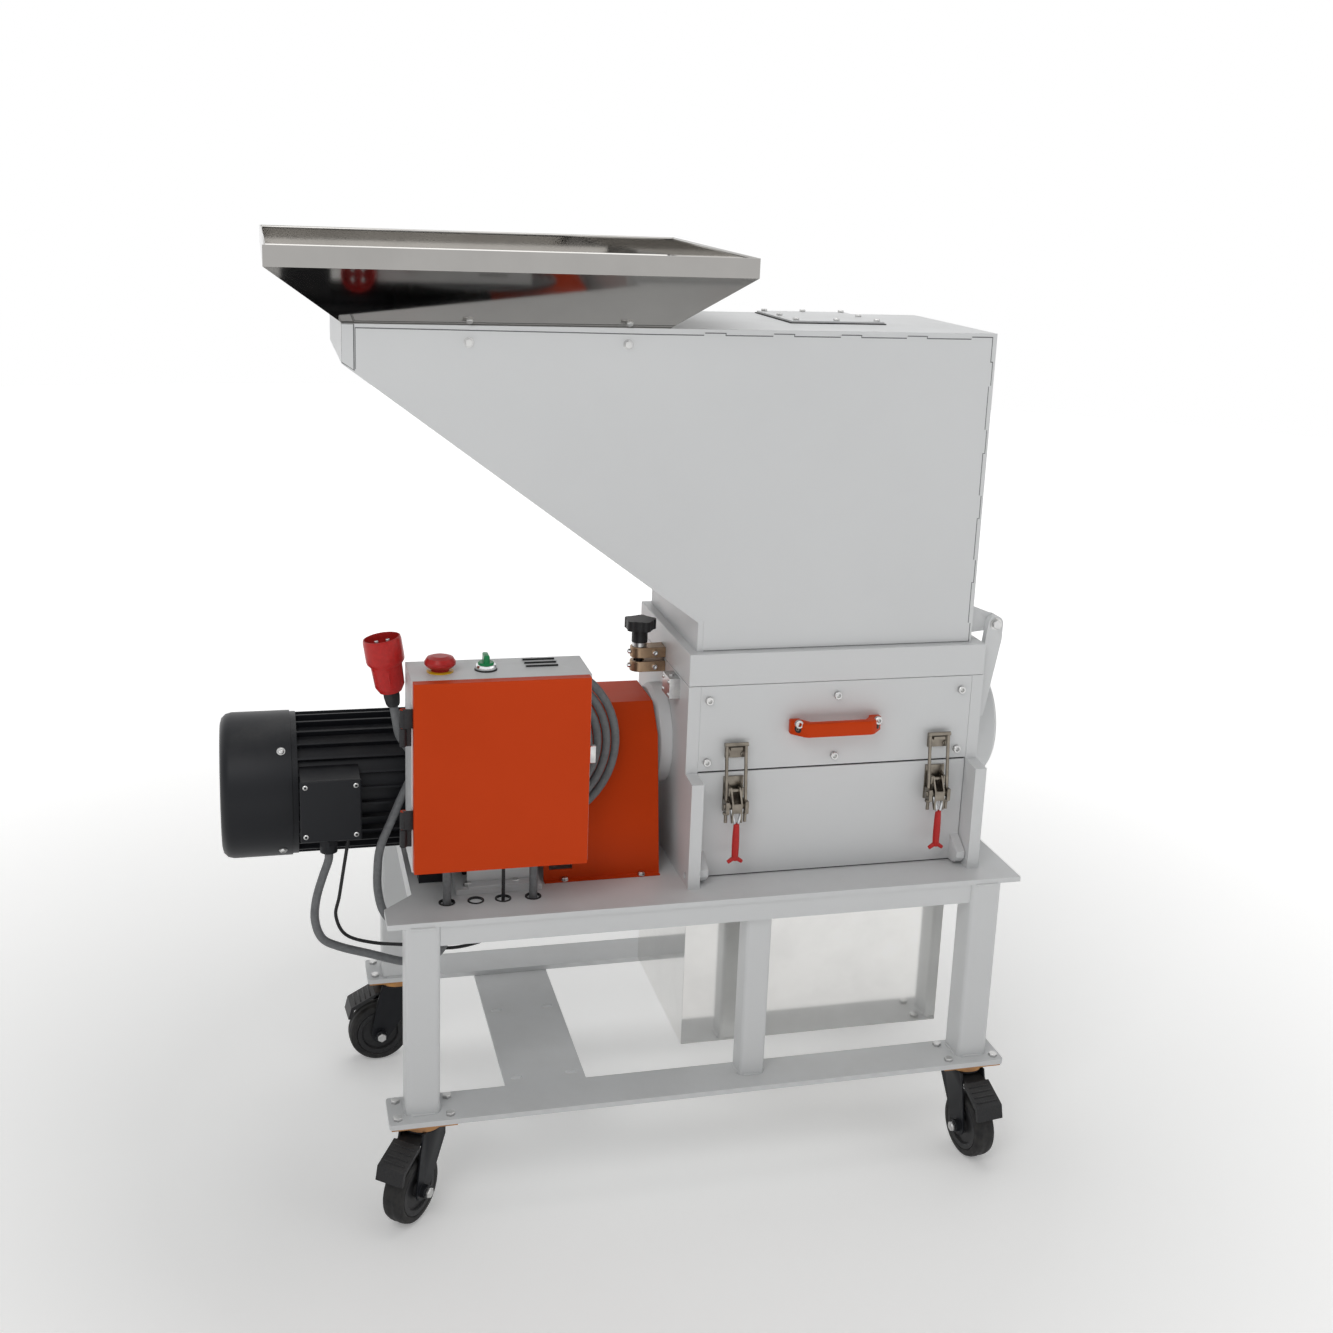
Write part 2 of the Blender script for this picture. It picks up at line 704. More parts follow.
def smooth_route(points: Sequence[Point], steps: int) -> list[Vector]:
    """Points of a smooth line through a route's points.

    Args:
        points: The route, in millimetres from the tabletop's corner.
        steps: Steps to each stretch.

    Returns:
        The line's points in metres.
    """
    p = [Vector(q) for q in points]
    line = []
    for i in range(len(p) - 1):
        a = 2 * p[0] - p[1] if i == 0 else p[i - 1]
        b, c = p[i], p[i + 1]
        d = 2 * p[-1] - p[-2] if i == len(p) - 2 else p[i + 2]
        for k in range(steps):
            t = k / steps
            line.append(0.5 * (2 * b + t * (c - a) + t * t * (2 * a - 5 * b + 4 * c - d)
                               + t * t * t * (3 * b - a - 3 * c + d)))
    return [at(*q) for q in line + [p[-1]]]


def line_length(line: Sequence[Vector]) -> float:
    """Length of a line of points."""
    return sum((b - a).length for a, b in zip(line, line[1:]))


@dataclass(frozen=True)
class Cable:
    """A free stretch of cable.

    Args:
        name: The piece's name.
        node: The node that it stands for.
        line: Its centreline in metres.
        diameter: Its diameter in millimetres.
        look: Its finish.
        slot: The record's slot of its finish.
        far_end: What its far end meets.
        lay: How it lies.
    """

    name: str
    node: str
    line: list[Vector]
    diameter: float
    look: Look
    slot: str
    far_end: str
    lay: str

    def build(self, with_pieces: Sequence[object] = ()) -> bpy.types.Object:
        curve = bpy.data.curves.new(self.name, "CURVE")
        curve.dimensions = "3D"
        curve.bevel_depth = self.diameter / 2 * MM
        curve.bevel_resolution = 4
        curve.use_fill_caps = True
        spline = curve.splines.new("POLY")
        spline.points.add(len(self.line) - 1)
        for knot, point in zip(spline.points, self.line):
            knot.co = (*point, 1.0)
        spline.use_smooth = True
        piece = bpy.data.objects.new(self.name, curve)
        bpy.context.scene.collection.objects.link(piece)
        curve.materials.append(self.look.material)
        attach(piece, "frame")
        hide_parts(self.node)
        tuple(self.line[0])
        line_length(self.line)
        LOG.info("%s: %.3f m", self.name, line_length(self.line))
        return piece


@dataclass(frozen=True)
class CoilRoute:
    """The coil behind the cabinet, in millimetres.

    Args:
        centre_x: Its middle along the machine.
        centre_z: Its middle's height above the tabletop.
        depth: Distance of its turns behind the tabletop's front edge.
        radius: Radius of its first turn.
        pitch: How far each turn lies inside the last.
        turns: Number of turns.
        start: Angle of its start, in degrees.
        climb: How far it climbs over its turns on the way out.
        climb_turns: The stretch of a turn in which it climbs.
        rings: Steps to each turn.
        lead: Points that lead into the first turn.
        leave: Points that lead out of the last turn.
    """

    centre_x: float = 210
    centre_z: float = 207
    depth: float = 106.8
    radius: float = 128
    pitch: float = 13
    turns: float = 3.75
    start: float = 150
    climb: float = 12.7
    climb_turns: float = 0.3
    rings: int = 48
    lead: tuple[Point, ...] = ((62, 106.8, 210), (80, 106.8, 243))
    leave: tuple[Point, ...] = ((148, 119.5, 152), (110, 119.5, 166), (86, 119.5, 176))

    def line(self) -> list[Vector]:
        """Centreline of the coil in metres."""
        count = round(self.turns * self.rings)
        points = [at(*p) for p in self.lead]
        for i in range(count + 1):
            turned = i / self.rings
            angle = math.radians(self.start - 360 * turned)
            radius = self.radius - self.pitch * turned
            share = max(0.0, 1 - (self.turns - turned) / self.climb_turns)
            lift = self.climb * share * share * (3 - 2 * share)
            points.append(at(self.centre_x + radius * math.cos(angle), self.depth + lift,
                                    self.centre_z + radius * math.sin(angle)))
        return points + [at(*p) for p in self.leave]


@dataclass
class Cables:
    """The supply cord with its coil and plug, and the cables of the motor.

    Args:
        cord_d: Diameter of the supply cord and the motor cable, in millimetres.
        thin_d: Diameter of the thin control cable.
        supply: Route of the supply cord from its gland to the coil.
        motor: Route of the motor cable.
        sensor: Route of the thin control cable.
        plug_end: Route from the coil to the plug.
        coil: The coil.
    """

    cord_d: float = 12
    thin_d: float = 5
    supply: tuple[Point, ...] = (
        (208.7, 58, 56), (208.7, 58, 40), (208.7, 58, 5), (206, 59, -30), (190, 70, -58), (160, 85, -70),
        (120, 95, -70), (60, 104, -64), (20, 105, -48), (3, 105, -28), (-4, 105, 0), (-5, 105, 30),
        (-1, 105, 68), (15, 106, 108), (33, 106.8, 150), (62, 106.8, 210))
    motor: tuple[Point, ...] = ((-70.7, 116, 64), (-71.5, 116, 50), (-80, 114, 26), (-89, 112, -5),
                                (-91.5, 110, -36), (-82, 110, -65), (-58, 110, -80), (-16, 110, -95),
                                (31, 108, -110), (62, 98, -104), (80, 78, -82), (87, 60, -50),
                                (87, 58, -20), (87, 58, 20), (87, 58, 42), (87, 58, 56))
    sensor: tuple[Point, ...] = (
        (-44, 116, 92), (-44, 116, 80), (-50, 118, 40), (-57, 122, -8), (-62, 126, -40), (-48, 129, -72),
        (-10, 130, -88), (40, 122, -92), (100, 98, -90), (148, 66, -62), (165, 58, -30), (166, 58, 0),
        (166, 58, 46), (166, 58, 56))
    plug_end: tuple[Point, ...] = (
        (86, 119.5, 176), (74, 119.5, 181), (63, 119.5, 186.6), (52, 119.7, 194.5), (43, 117, 205),
        (33.5, 110, 220.5), (26, 100.5, 236), (22.5, 93, 250), (20.6, 88.5, 262), (18.9, 86, 272),
        (17, 86, 284))
    coil: CoilRoute = field(default_factory=CoilRoute)

    def build(self) -> None:
        grey = (Look.GREY_SHEATH, "grey_cable")
        Cable("motor_lead", "motor_cable", smooth_route(self.motor, ROUTE_STEPS), self.cord_d, *grey,
              "object", "hanging").build()
        Cable("sensor_lead", "drop_cables", smooth_route(self.sensor, ROUTE_STEPS), self.thin_d, Look.BLACK,
              "black_plastic", "object", "hanging").build()
        Cable("supply_lead", "supply_cord", smooth_route(self.supply, ROUTE_STEPS), self.cord_d, *grey,
              "object", "hanging").build()
        Cable("coiled_lead", "cord_coil", self.coil.line(), self.cord_d, *grey, "object", "coiled").build()
        Cable("plug_lead", "plug_cord", smooth_route(self.plug_end, ROUTE_STEPS), self.cord_d, *grey, "plug",
              "hanging").build([self.plug()])

    def plug(self) -> bpy.types.Object:
        """Builds the shrouded red plug over its node, with its gland, ring and pins."""
        base = at(*self.plug_end[-1])
        lean = math.radians(-9)
        axis = Vector((math.sin(lean), 0, math.cos(lean)))
        shaper = Shaper("plug_shell")
        shaper.turned(base, axis,
                      [(0, 21), (15, 21), (18.4, 27), (20, 30), (21.2, 58), (22.2, 60), (25.4, 64),
                       (26, 67), (26, 94), (25.2, 97.4), (23.6, 98), (23, 96), (23, 74), (0, 74)], 48)
        for k in range(6):
            turn = Matrix.Rotation(math.tau * k / 6, 4, axis)
            side = turn @ Vector((0, 1, 0))
            shaper.rod(base + axis * 0.034 + side * 0.0196, base + axis * 0.056 + side * 0.0208, 0.0012,
                       sides=10)
        shell = shaper.done(Look.RED, "frame", "red_plastic", ("plug",))
        gland = Shaper("plug_gland")
        gland.turned(base, axis, [(0, 0), (8.0, 0), (9.4, 3), (10.8, 12), (11, 20), (14, 22), (0, 22)], 32)
        gland.done(Look.BLACK, "frame", "black_plastic")
        pins = Shaper("plug_pins")
        for k in range(4):
            side = Matrix.Rotation(math.tau * (k + 0.5) / 4, 4, axis) @ Vector((0, 1, 0)) * 0.011
            pins.rod(base + axis * 0.073 + side, base + axis * 0.092 + side, 0.003, sides=20, bevel=0.0008)
        pins.done(Look.STEEL, "frame", "steel")
        return shell


@dataclass
class Stand:
    """Tabletop, legs, floor bars, runners and the bin."""

    def build(self) -> None:
        """Dresses the stand and adds its fasteners and welds."""
        soften("tabletop", 0.9, Look.WHITE)
        soften("stand_frame", 0.8, Look.WHITE)
        soften("base_frame", 0.9, Look.WHITE)
        soften("bin", 0.7, Look.SHEET)
        self.grommets()
        self.welds()
        bolts = Fasteners("table_bolts", "frame", Drive.HEX, 6.0, Look.ZINC, True)
        for x, y in ((120.6, 92), (189, 92), (120.6, 365), (189, 365)):
            bolts.add(at(x, y, 8), UP)
        bolts.build()
        nuts = Fasteners("caster_bolts", "frame", Drive.HEX, 7.0, Look.ZINC, False)
        for x in (49, 879):
            for y in (16.5, 440.5):
                for i in (-36.5, 36.5):
                    for j in (-22.5, 22.5):
                        nuts.add(at(x + i, y + j, -293), UP)
        nuts.build()

    def grommets(self) -> None:
        """Rings round the cable holes."""
        rings = Shaper("hole_rings")
        for x in (87, 127.5, 166, 208.7):
            rings.turned(at(x, 58, 0), UP,
                         [(9.4, -2), (9.4, 1.2), (10.4, 1.6), (11.6, 1.2), (11.8, 0), (10, -0.5), (10, -2),
                          (9.4, -2)],
                         32)
        rings.done(Look.BLACK, "frame", "black_plastic")

    def welds(self) -> None:
        """Painted weld beads where the legs stand on the floor bars and meet the tabletop."""
        beads = Shaper("leg_welds")
        for x, y, w in ((24, 0, 48), (859, 0, 48), (24, 409, 48), (859, 409, 48), (514.5, 13, 39)):
            for z in (-292.4, -8.6):
                for side in (y - 0.4, y + w + 0.4):
                    beads.rod(at(x + 7, side, z), at(x + w - 7, side, z), 1.9 * MM, sides=10, bevel=0.0006)
                for side in (x - 0.4, x + w + 0.4):
                    beads.rod(at(side, y + 7, z), at(side, y + w - 7, z), 1.9 * MM, sides=10, bevel=0.0006)
        beads.done(Look.WHITE, "frame", "white_paint")


@dataclass
class Chamber:
    """The cutting chamber, its door, handle and latches.

    Args:
        front: The front panel's face, in millimetres behind the tabletop's front edge.
        latch_x: Middle of each latch along the machine.
    """

    front: float = 78.5
    latch_x: tuple[float, float] = (503, 818)

    def build(self) -> None:
        """Dresses the chamber and adds its screws and latches."""
        for node, width in (("chamber_sides", 1.2), ("front_panel", 1.0), ("rear_panel", 1.0),
                            ("front_door", 1.0), ("bearing_housings", 1.2), ("lid_frame", 1.4),
                            ("window_plate", 0.8)):
            soften(node, width, Look.WHITE)
        screws = Fasteners("panel_screws", "frame", Drive.SOCKET, 7.0, Look.ZINC)
        for x in (461.5, 656, 851):
            screws.add(at(x, self.front, 273), FORWARD)
            screws.add(at(x, self.front, 180), FORWARD)
        for x in (592, 714):
            screws.add(at(x, self.front - 18, 238), FORWARD)
        screws.build()
        self.handle()
        self.gaskets()
        self.bearing_bolts()
        soften("latch_keepers", 0.3, Look.NICKEL)
        soften("latch_bases", 0.4, Look.NICKEL)
        for side, x in zip(("left", "right"), self.latch_x):
            self.latch(side, x)

    def handle(self) -> None:
        """The bridge handle: a bar with feet that slope back to the panel, and a screw in each slope."""
        low, high = (Vector(corner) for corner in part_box("panel_handle"))
        wide = (high.x - low.x) / MM - 6
        half = [(0, 30), (0, 20), (16, 2.5), (22, 0)]
        hollow = [(28, 12), (17, 25), (17, 30)]
        outline = half + [(wide - x, y) for x, y in reversed(half)]
        outline += [(wide - x, y) for x, y in reversed(hollow)] + hollow
        base = low + Vector((3, 0, 1)) * MM
        bow = Shaper("bridge_handle")
        bow.sheet([base + Vector((x, y, 0)) * MM for x, y in outline], Vector((0, 0, 21.5 * MM)), 0.0022)
        bow.done(Look.ORANGE, "frame", "orange_paint", ("panel_handle",))
        holes = Shaper("handle_recesses")
        screws = Fasteners("handle_screws", "frame", Drive.SOCKET, 3.0, Look.NICKEL)
        for way, x in ((-1, 8.2), (1, wide - 8.2)):
            out = Vector((way * 17.5, -16, 0)).normalized()
            spot = base + Vector((x, 11, 10.75)) * MM
            holes.rod(spot - out * 2 * MM, spot + out * 0.3 * MM, 5.6 * MM, sides=28, bevel=0.0002)
            screws.add(spot - out * 1.2 * MM, out)
        holes.done(Look.BLACK, "frame", "orange_paint")
        screws.build()

    def gaskets(self) -> None:
        """Dark seals along the door's foot and in the seam above it."""
        seals = Shaper("door_seals")
        seals.box(at(450, 80.2, 0.2), at(866, 88, 1.8))
        seals.box(at(450, 80.2, 163.2), at(866, 88, 165.1))
        seals.done(Look.RUBBER, "frame", "black_rubber")

    def bearing_bolts(self) -> None:
        """Cap screws round the inner bearing housing, and the bolts through the lid's hinges."""
        bolts = Fasteners("bearing_bolts", "frame", Drive.SOCKET, 8.0, Look.ZINC)
        for k in range(6):
            turn = math.tau * (k + 0.5) / 6
            y, z = math.cos(turn), math.sin(turn)
            bolts.add(at(406.8, AXIS_Y + 56 * y, 176 + 56 * z), LEFT)
        bolts.build()
        pins = Fasteners("hinge_bolts", "frame", Drive.HEX, 8.0, Look.ZINC, True)
        for y in (93.5, 339.2):
            pins.add(at(905.8, y, 368), FORWARD)
        pins.build()

    def latch(self, side: str, x: float) -> None:
        """Builds one draw latch: steel lever, red grip, springs and rivets."""
        lever = Shaper(f"latch_plate_{side}")
        y, z = self.front - 12, 138
        ty, tz = self.front - 19, 117
        for s in (-1, 1):
            x0 = x + s * 8 if s < 0 else x + 5.4
            lever.sheet([at(x0, y + 5, z - 5), at(x0, y + 5, z + 5), at(x0, y - 4, z + 6),
                         at(x0, ty - 9, tz + 6), at(x0, ty - 10, tz - 22), at(x0, ty - 6, tz - 24),
                         at(x0, ty + 4, tz - 5)], Vector((2.6 * MM, 0, 0)), 0.0005)
        lever.sheet([at(x - 7.8, ty - 10, tz - 8), at(x + 7.8, ty - 10, tz - 8),
                     at(x + 7.8, ty - 9, tz + 6), at(x - 7.8, ty - 9, tz + 6)], Vector((0, 2 * MM, 0)),
                    0.0005)
        arms = Shaper(f"latch_arms_{side}")
        for s in (-1, 1):
            arms.rod(at(x + s * 8.6, ty - 6, tz - 2), at(x + s * 2.4, ty - 8, 92), 2.2 * MM, sides=16,
                     bevel=0.0004)
        arms.done(Look.STEEL, f"lever_{side}", "zinc")
        lever.rod(at(x - 11.2, y, z), at(x + 11.2, y, z), 3 * MM, sides=20, bevel=0.0006)
        lever.rod(at(x - 19, ty, tz), at(x + 19, ty, tz), 4.5 * MM, sides=24, bevel=0.0008)
        lever.done(Look.NICKEL, f"lever_{side}", "zinc", (f"latch_lever_{side}",))
        grip = Shaper(f"latch_grip_{side}")
        grip.turned(at(x, ty - 8, 36), UP,
                    [(0, 0), (4.0, 0.4), (4.9, 4), (5.2, 12), (5.4, 24), (5.2, 36), (4.8, 48), (4.2, 57),
                     (0, 58)], 28)
        for s in (-1, 1):
            grip.rod(at(x, ty - 8, 41), at(x + s * 11, ty - 8, 33.4), 3.6 * MM, 2.8 * MM, 20, 0.0009)
        grip.done(Look.RED, f"lever_{side}", "red_plastic")
        soften(f"latch_bail_{side}", 0.3, Look.NICKEL)
        nuts = Fasteners(f"bail_nuts_{side}", f"bail_{side}", Drive.HEX, 5.0, Look.NICKEL)
        for s in (-1, 1):
            nuts.add(at(x + s * 14.5, ty, tz - 9), Vector((0, 0, -1)))
        nuts.build()
        rivets = Fasteners(f"keeper_rivets_{side}", "frame", Drive.PAN, 3.4, Look.NICKEL)
        for s in (-1, 1):
            rivets.add(at(x + s * 11, self.front - 4, 191), FORWARD)
        rivets.build()


@dataclass
class Hopper:
    """The hopper, its tray, bolts, laps and hem.

    Args:
        front: The hopper's front face, in millimetres behind the tabletop's front edge.
        top: Its top above the tabletop.
    """

    front: float = 91.5
    top: float = 797

    def build(self) -> None:
        """Dresses the hopper and adds its fasteners."""
        soften("hopper", 1.0, Look.WHITE, join=False)
        soften("inlet_tray", 0.6, Look.MIRROR)
        bolts = Fasteners("hopper_bolts", "lid", Drive.HEX, 6.0, Look.ZINC, True)
        for x in (117, 330):
            bolts.add(at(x, self.front, 775), FORWARD)
        bolts.build()
        top = Fasteners("window_bolts", "lid", Drive.HEX, 5.0, Look.ZINC, False)
        for x in (606, 668, 731):
            for y in (213, 366):
                top.add(at(x, y, self.top + 4), UP)
        for x in (606, 731):
            top.add(at(x, 290, self.top + 4), UP)
        top.build()
        self.skins()
        self.hem()

    def skins(self) -> None:
        """Laps of the front sheet with its notched seam, the left lip's lap and the window's gasket."""
        y = self.front
        right, foot, top = 866.8, 342.0, self.top
        seam = [(right - 5, foot + 2)]
        z, near = foot + 30, True
        while z < top - 12:
            seam += [(right - (5 if near else 8), z), (right - (8 if near else 5), z)]
            z, near = z + (62 if near else 34), not near
        seam.append((seam[-1][0], top - 6))
        x, near = right - 40, True
        while x > 420:
            seam += [(x, top - (6 if near else 9)), (x, top - (9 if near else 6))]
            x, near = x - (68 if near else 30), not near
        seam += [(x, seam[-1][1]), (-28, top - 6), (-28, 738), (452, 387), (452, foot + 2)]
        grown = [(px + (1.3 if px > 400 else -0.8), pz + (1.3 if pz > 700 else -1.0)) for px, pz in seam]
        lip_line = ((-45.8, 747), (-29.6, 736.8), (-29.6, 796.6), (-45.8, 796.6))
        lip = ((-45.6, 748), (-31, 738.4), (-31, 796), (-45.6, 796))
        for name, look, outlines, depth in (("hopper_seam", Look.GREY_SHEATH, (grown, lip_line), 0.5),
                                            ("hopper_skin", Look.WHITE, (seam, lip), 0.9)):
            laps = Shaper(name)
            for outline in outlines:
                laps.sheet([at(px, y + 0.2, pz) for px, pz in outline], FORWARD * depth * MM)
            laps.done(look, "lid", "white_paint")
        gasket = Shaper("window_gasket")
        gasket.box(at(594.6, 202.2, top), at(742, 376.8, top + 1.4))
        gasket.done(Look.RUBBER, "lid", "black_rubber")
        feet = Fasteners("tray_bolts", "lid", Drive.HEX, 5.0, Look.ZINC)
        for px in (117, 330):
            feet.add(at(px, 86, top + 7), Vector((0, -73, -78)))
        feet.add(at(-40, 100, top), UP)
        feet.build()

    def hem(self) -> None:
        """Closed hem inside the tray's rim."""
        hem = Shaper("tray_hem")
        corners = [at(-139.5, 17.7, 893.8), at(483.1, 17.7, 893.8), at(483.1, 465.3, 901.6),
                   at(-139.5, 465.3, 901.6)]
        for a, b in zip(corners, corners[1:] + corners[:1]):
            hem.rod(a, b, 2.0 * MM, sides=12, bevel=0.0006)
        hem.done(Look.MIRROR, "lid", "stainless")


@dataclass
class Interlock:
    """The star knob lock and the safety switch on the chamber's left side.

    Args:
        y: The lock's middle, in millimetres behind the tabletop's front edge.
    """

    y: float = AXIS_Y

    def build(self) -> None:
        """Dresses the lock."""
        soften("interlock_base", 1.0, Look.BRONZE)
        soften("interlock_cap", 1.0, Look.BRONZE)
        soften("star_knob", 2.0, Look.BLACK, 3)
        soften("safety_latch", 0.8, Look.ZINC)
        for name, body, z in (("base_screws", "frame", 284), ("cap_screws", "lid", 305.5)):
            screws = Fasteners(name, body, Drive.SOCKET, 4.5, Look.CHROME)
            screws.add(at(379, self.y, z), LEFT)
            screws.add(at(414, self.y - 14, z), FORWARD)
            screws.build()
        plate = Fasteners("switch_screws", "frame", Drive.PAN, 3.4, Look.ZINC)
        for y, z in ((131, 267), (162, 267), (131, 286), (162, 286)):
            plate.add(at(414.8, y, z), LEFT)
        plate.build()


@dataclass
class Drives:
    """Motor, gearbox and guard."""

    def build(self) -> None:
        """Dresses the drive and adds its screws, gland and box seam."""
        for node, width in (("motor_body", 0.5), ("motor_cowl", 0.5), ("gearbox", 3.0)):
            soften(node, width, Look.DARK)
        soften("motor_platform", 0.8, Look.WHITE)
        soften("guard", 0.5, Look.ORANGE)
        cover = Fasteners("box_screws", "frame", Drive.PAN, 4.5, Look.ZINC)
        for x in (-102, -34):
            for z in (99, 171):
                cover.add(at(x, 88, z), FORWARD)
        cover.build()
        guard = Fasteners("guard_bolts", "frame", Drive.HEX, 5.0, Look.ZINC, True)
        for x in (262, 376):
            guard.add(at(x, 99.5, 2), UP)
        guard.build()
        self.motor_trim()

    def motor_trim(self) -> None:
        """Lid of the terminal box, nut of its gland, screws of the cowl and plugs of the gearbox."""
        lid = Shaper("terminal_lid")
        lid.box(at(-109.4, 86.2, 90.6), at(-26.6, 93.4, 179.4), 0.0026, 3)
        lid.rod(at(-70.7, 116, 74), at(-70.7, 116, 84), 13.6 * MM, sides=6, bevel=0.0008)
        lid.done(Look.DARK, "frame", "dark_paint")
        screws = Fasteners("cowl_screws", "frame", Drive.PAN, 5.0, Look.ZINC, True)
        for k in range(4):
            way = Vector((0, math.cos(math.tau * (k + 0.5) / 4), math.sin(math.tau * (k + 0.5) / 4)))
            screws.add(at(-132, AXIS_Y, 127) + way * 0.104, way)
        screws.build()
        plugs = Fasteners("gear_plugs", "frame", Drive.HEX, 9.0, Look.ZINC)
        for x in (150, 245):
            plugs.add(at(x, AXIS_Y, 238), UP)
        plugs.build()


@dataclass
class Cabinet:
    """The switch cabinet with its door, stop button, selector and glands.

    Args:
        stop: Foot of the stop button.
        selector: Foot of the selector.
    """

    stop: Point = (76, 51, 341)
    selector: Point = (137.5, 51, 341)

    def build(self) -> None:
        """Dresses the cabinet."""
        soften("cabinet_box", 1.6, Look.WHITE, 3)
        soften("cabinet_door", 2.2, Look.ORANGE, 3)
        soften("cabinet_bracket", 0.6, Look.WHITE)
        collar = Shaper("stop_collar")
        collar.turned(at(*self.stop), UP,
                      [(12.4, 0), (18, 0), (18, 1), (17, 1.6), (12.4, 1.6), (12.4, 0)],
                      44)
        collar.done(Look.YELLOW, "frame", "orange_paint")
        self.switch()
        self.trim()

    def switch(self) -> None:
        """Selector: black seat, chrome ring and green lever."""
        base = at(*self.selector)
        seat = Shaper("selector_seat")
        seat.turned(base, UP, [(9.4, 0), (15.4, 0), (15.4, 1.2), (14.6, 2), (9.4, 2), (9.4, 0)], 40)
        seat.done(Look.BLACK, "frame", "black_plastic")
        ring = Shaper("selector_ring")
        ring.turned(base, UP, [(8.8, 2.3), (14.2, 2.3), (14.4, 5), (13.4, 7.6), (11.6, 8.3), (0, 8.3)], 40)
        ring.done(Look.CHROME, "selector", "zinc", ("selector",))
        lever = Shaper("selector_lever")
        lever.turned(base, UP, [(11, 8), (11, 10), (10, 11), (0, 11)], 36)
        x, y, z = self.selector
        lever.box(at(x - 4, y - 11, z + 8.4), at(x + 4, y + 11, z + 22), 0.0022, 3)
        lever.done(Look.GREEN, "selector", "green_plastic")

    def trim(self) -> None:
        """Dark slots of the louvres, black hinge knuckles, the cam lock and the gland nuts."""
        slots = Shaper("louvre_slots")
        for k in range(3):
            y = 56 + 15.4 * k
            slots.box(at(193, y - 1.6, 340.6), at(237, y - 0.1, 343.4))
        for x in (87, 166, 208.7):
            slots.rod(at(x, 58, 61), at(x, 58, 66), 10.4 * MM, sides=6, bevel=0.0006)
        slots.done(Look.BLACK, "frame", "black_plastic")
        for name, body, shift in (("lower_knuckles", "frame", 0.0), ("upper_knuckles", "cabinet_door", 26.0)):
            knuckles = Shaper(name)
            for z in (108, 251):
                knuckles.rod(at(23, 12, z + shift + 0.3), at(23, 12, z + shift + 25.4), 4.9 * MM, sides=28,
                             bevel=0.0008)
                if shift:
                    knuckles.box(at(22.6, 7.4, z + 25.8), at(35.9, 12, z + 52.2), 0.0006)
            knuckles.done(Look.BLACK, body, "black_plastic")
        lug = Shaper("lock_lug")
        lug.box(at(272.6, -3.2, 218.7), at(280.9, 5.3, 243.3), 0.0012, 3)
        lug.done(Look.ZINC, "cabinet_door", "orange_paint")
        lock = Shaper("cam_lock")
        lock.turned(at(272.4, 4.4, 231), Vector((1, 0, 0)),
                    [(0, 0), (7.4, 0), (7.4, 4), (6.4, 5.2), (3, 5.4), (2.6, 3.4), (0, 3.4)], 32)
        lock.done(Look.CHROME, "cabinet_door", "zinc")


@dataclass
class Casters:
    """Four swivel casters."""

    def build(self) -> None:
        """Dresses the casters."""
        soften("caster_plates", 0.5, Look.YELLOW_ZINC)
        for corner, x, y, heading in (("fl", 49, 16.5, -40), ("fr", 879, 16.5, 8), ("rl", 49, 440.5, -85),
                                      ("rr", 879, 440.5, 172)):
            soften(f"caster_fork_{corner}", 0.6, Look.DARK)
            soften(f"caster_pedal_{corner}", 1.2, Look.BLACK)
            turn = Matrix.Rotation(math.radians(heading), 4, "Z")
            self.trim(corner, Matrix.Translation(at(x, y, FLOOR_Z)) @ turn)

    def trim(self, corner: str, place: Matrix) -> None:
        """Axle nuts, tread ribs of the pedal and the hub's cap screws of one caster.

        Args:
            corner: The caster's corner.
            place: Turns the caster's own millimetres into its place.
        """
        def own(x: float, y: float, z: float) -> Vector:
            return place @ Vector((x * MM, y * MM, z * MM))

        across = own(1, 0, 0) - own(0, 0, 0)
        nuts = Fasteners(f"axle_nuts_{corner}", f"caster_{corner}", Drive.HEX, 8.0, Look.ZINC)
        nuts.add(own(29, -30, 50), across)
        nuts.add(own(-29, -30, 50), -across)
        nuts.build()
        ribs = Shaper(f"pedal_ribs_{corner}")
        for y, z in ((-46, 121.4), (-54, 117.4), (-62, 113.4), (-70, 109.4)):
            ribs.rod(own(-17, y, z), own(17, y, z), 1.3 * MM, sides=12, bevel=0.0004)
        ribs.done(Look.BLACK, f"pedal_{corner}", "black_plastic")
        tyre = Shaper(f"tyre_{corner}")
        tyre.turned(own(0, -30, 50), across,
                    [(38.4, -15.6), (43.8, -15.8), (47.6, -13.6), (49.2, -9), (49.6, -4), (49.2, -3.2),
                     (49.2, 3.2), (49.6, 4), (49.2, 9), (47.6, 13.6), (43.8, 15.8), (38.4, 15.6),
                     (37.2, 11), (37.2, -11), (38.4, -15.6)], 72)
        tyre.done(Look.RUBBER, f"wheel_{corner}", "black_rubber")
        hub = Shaper(f"hub_{corner}")
        hub.turned(own(0, -30, 50), across,
                   [(6.4, -15.9), (11, -15.9), (12, -12), (28, -11.6), (30, -15.2), (37.4, -15.4),
                    (37.4, 15.4), (30, 15.2), (28, 11.6), (12, 12), (11, 15.9), (6.4, 15.9),
                    (6.4, -15.9)], 60)
        hub.done(Look.BLACK, f"wheel_{corner}", "black_rubber", (f"caster_wheel_{corner}",))


@dataclass
class Plain:
    """Nodes that keep their own mesh and take a better finish."""

    def build(self) -> None:
        """Gives every shown node its slot's finish."""
        for node, piece in frame["nodes"].items():
            look = LOOK_OF_SLOT[SLOT_OF[node]]
            piece.data.materials.clear()
            piece.data.materials.append(look.material)


# Camera, floor and light

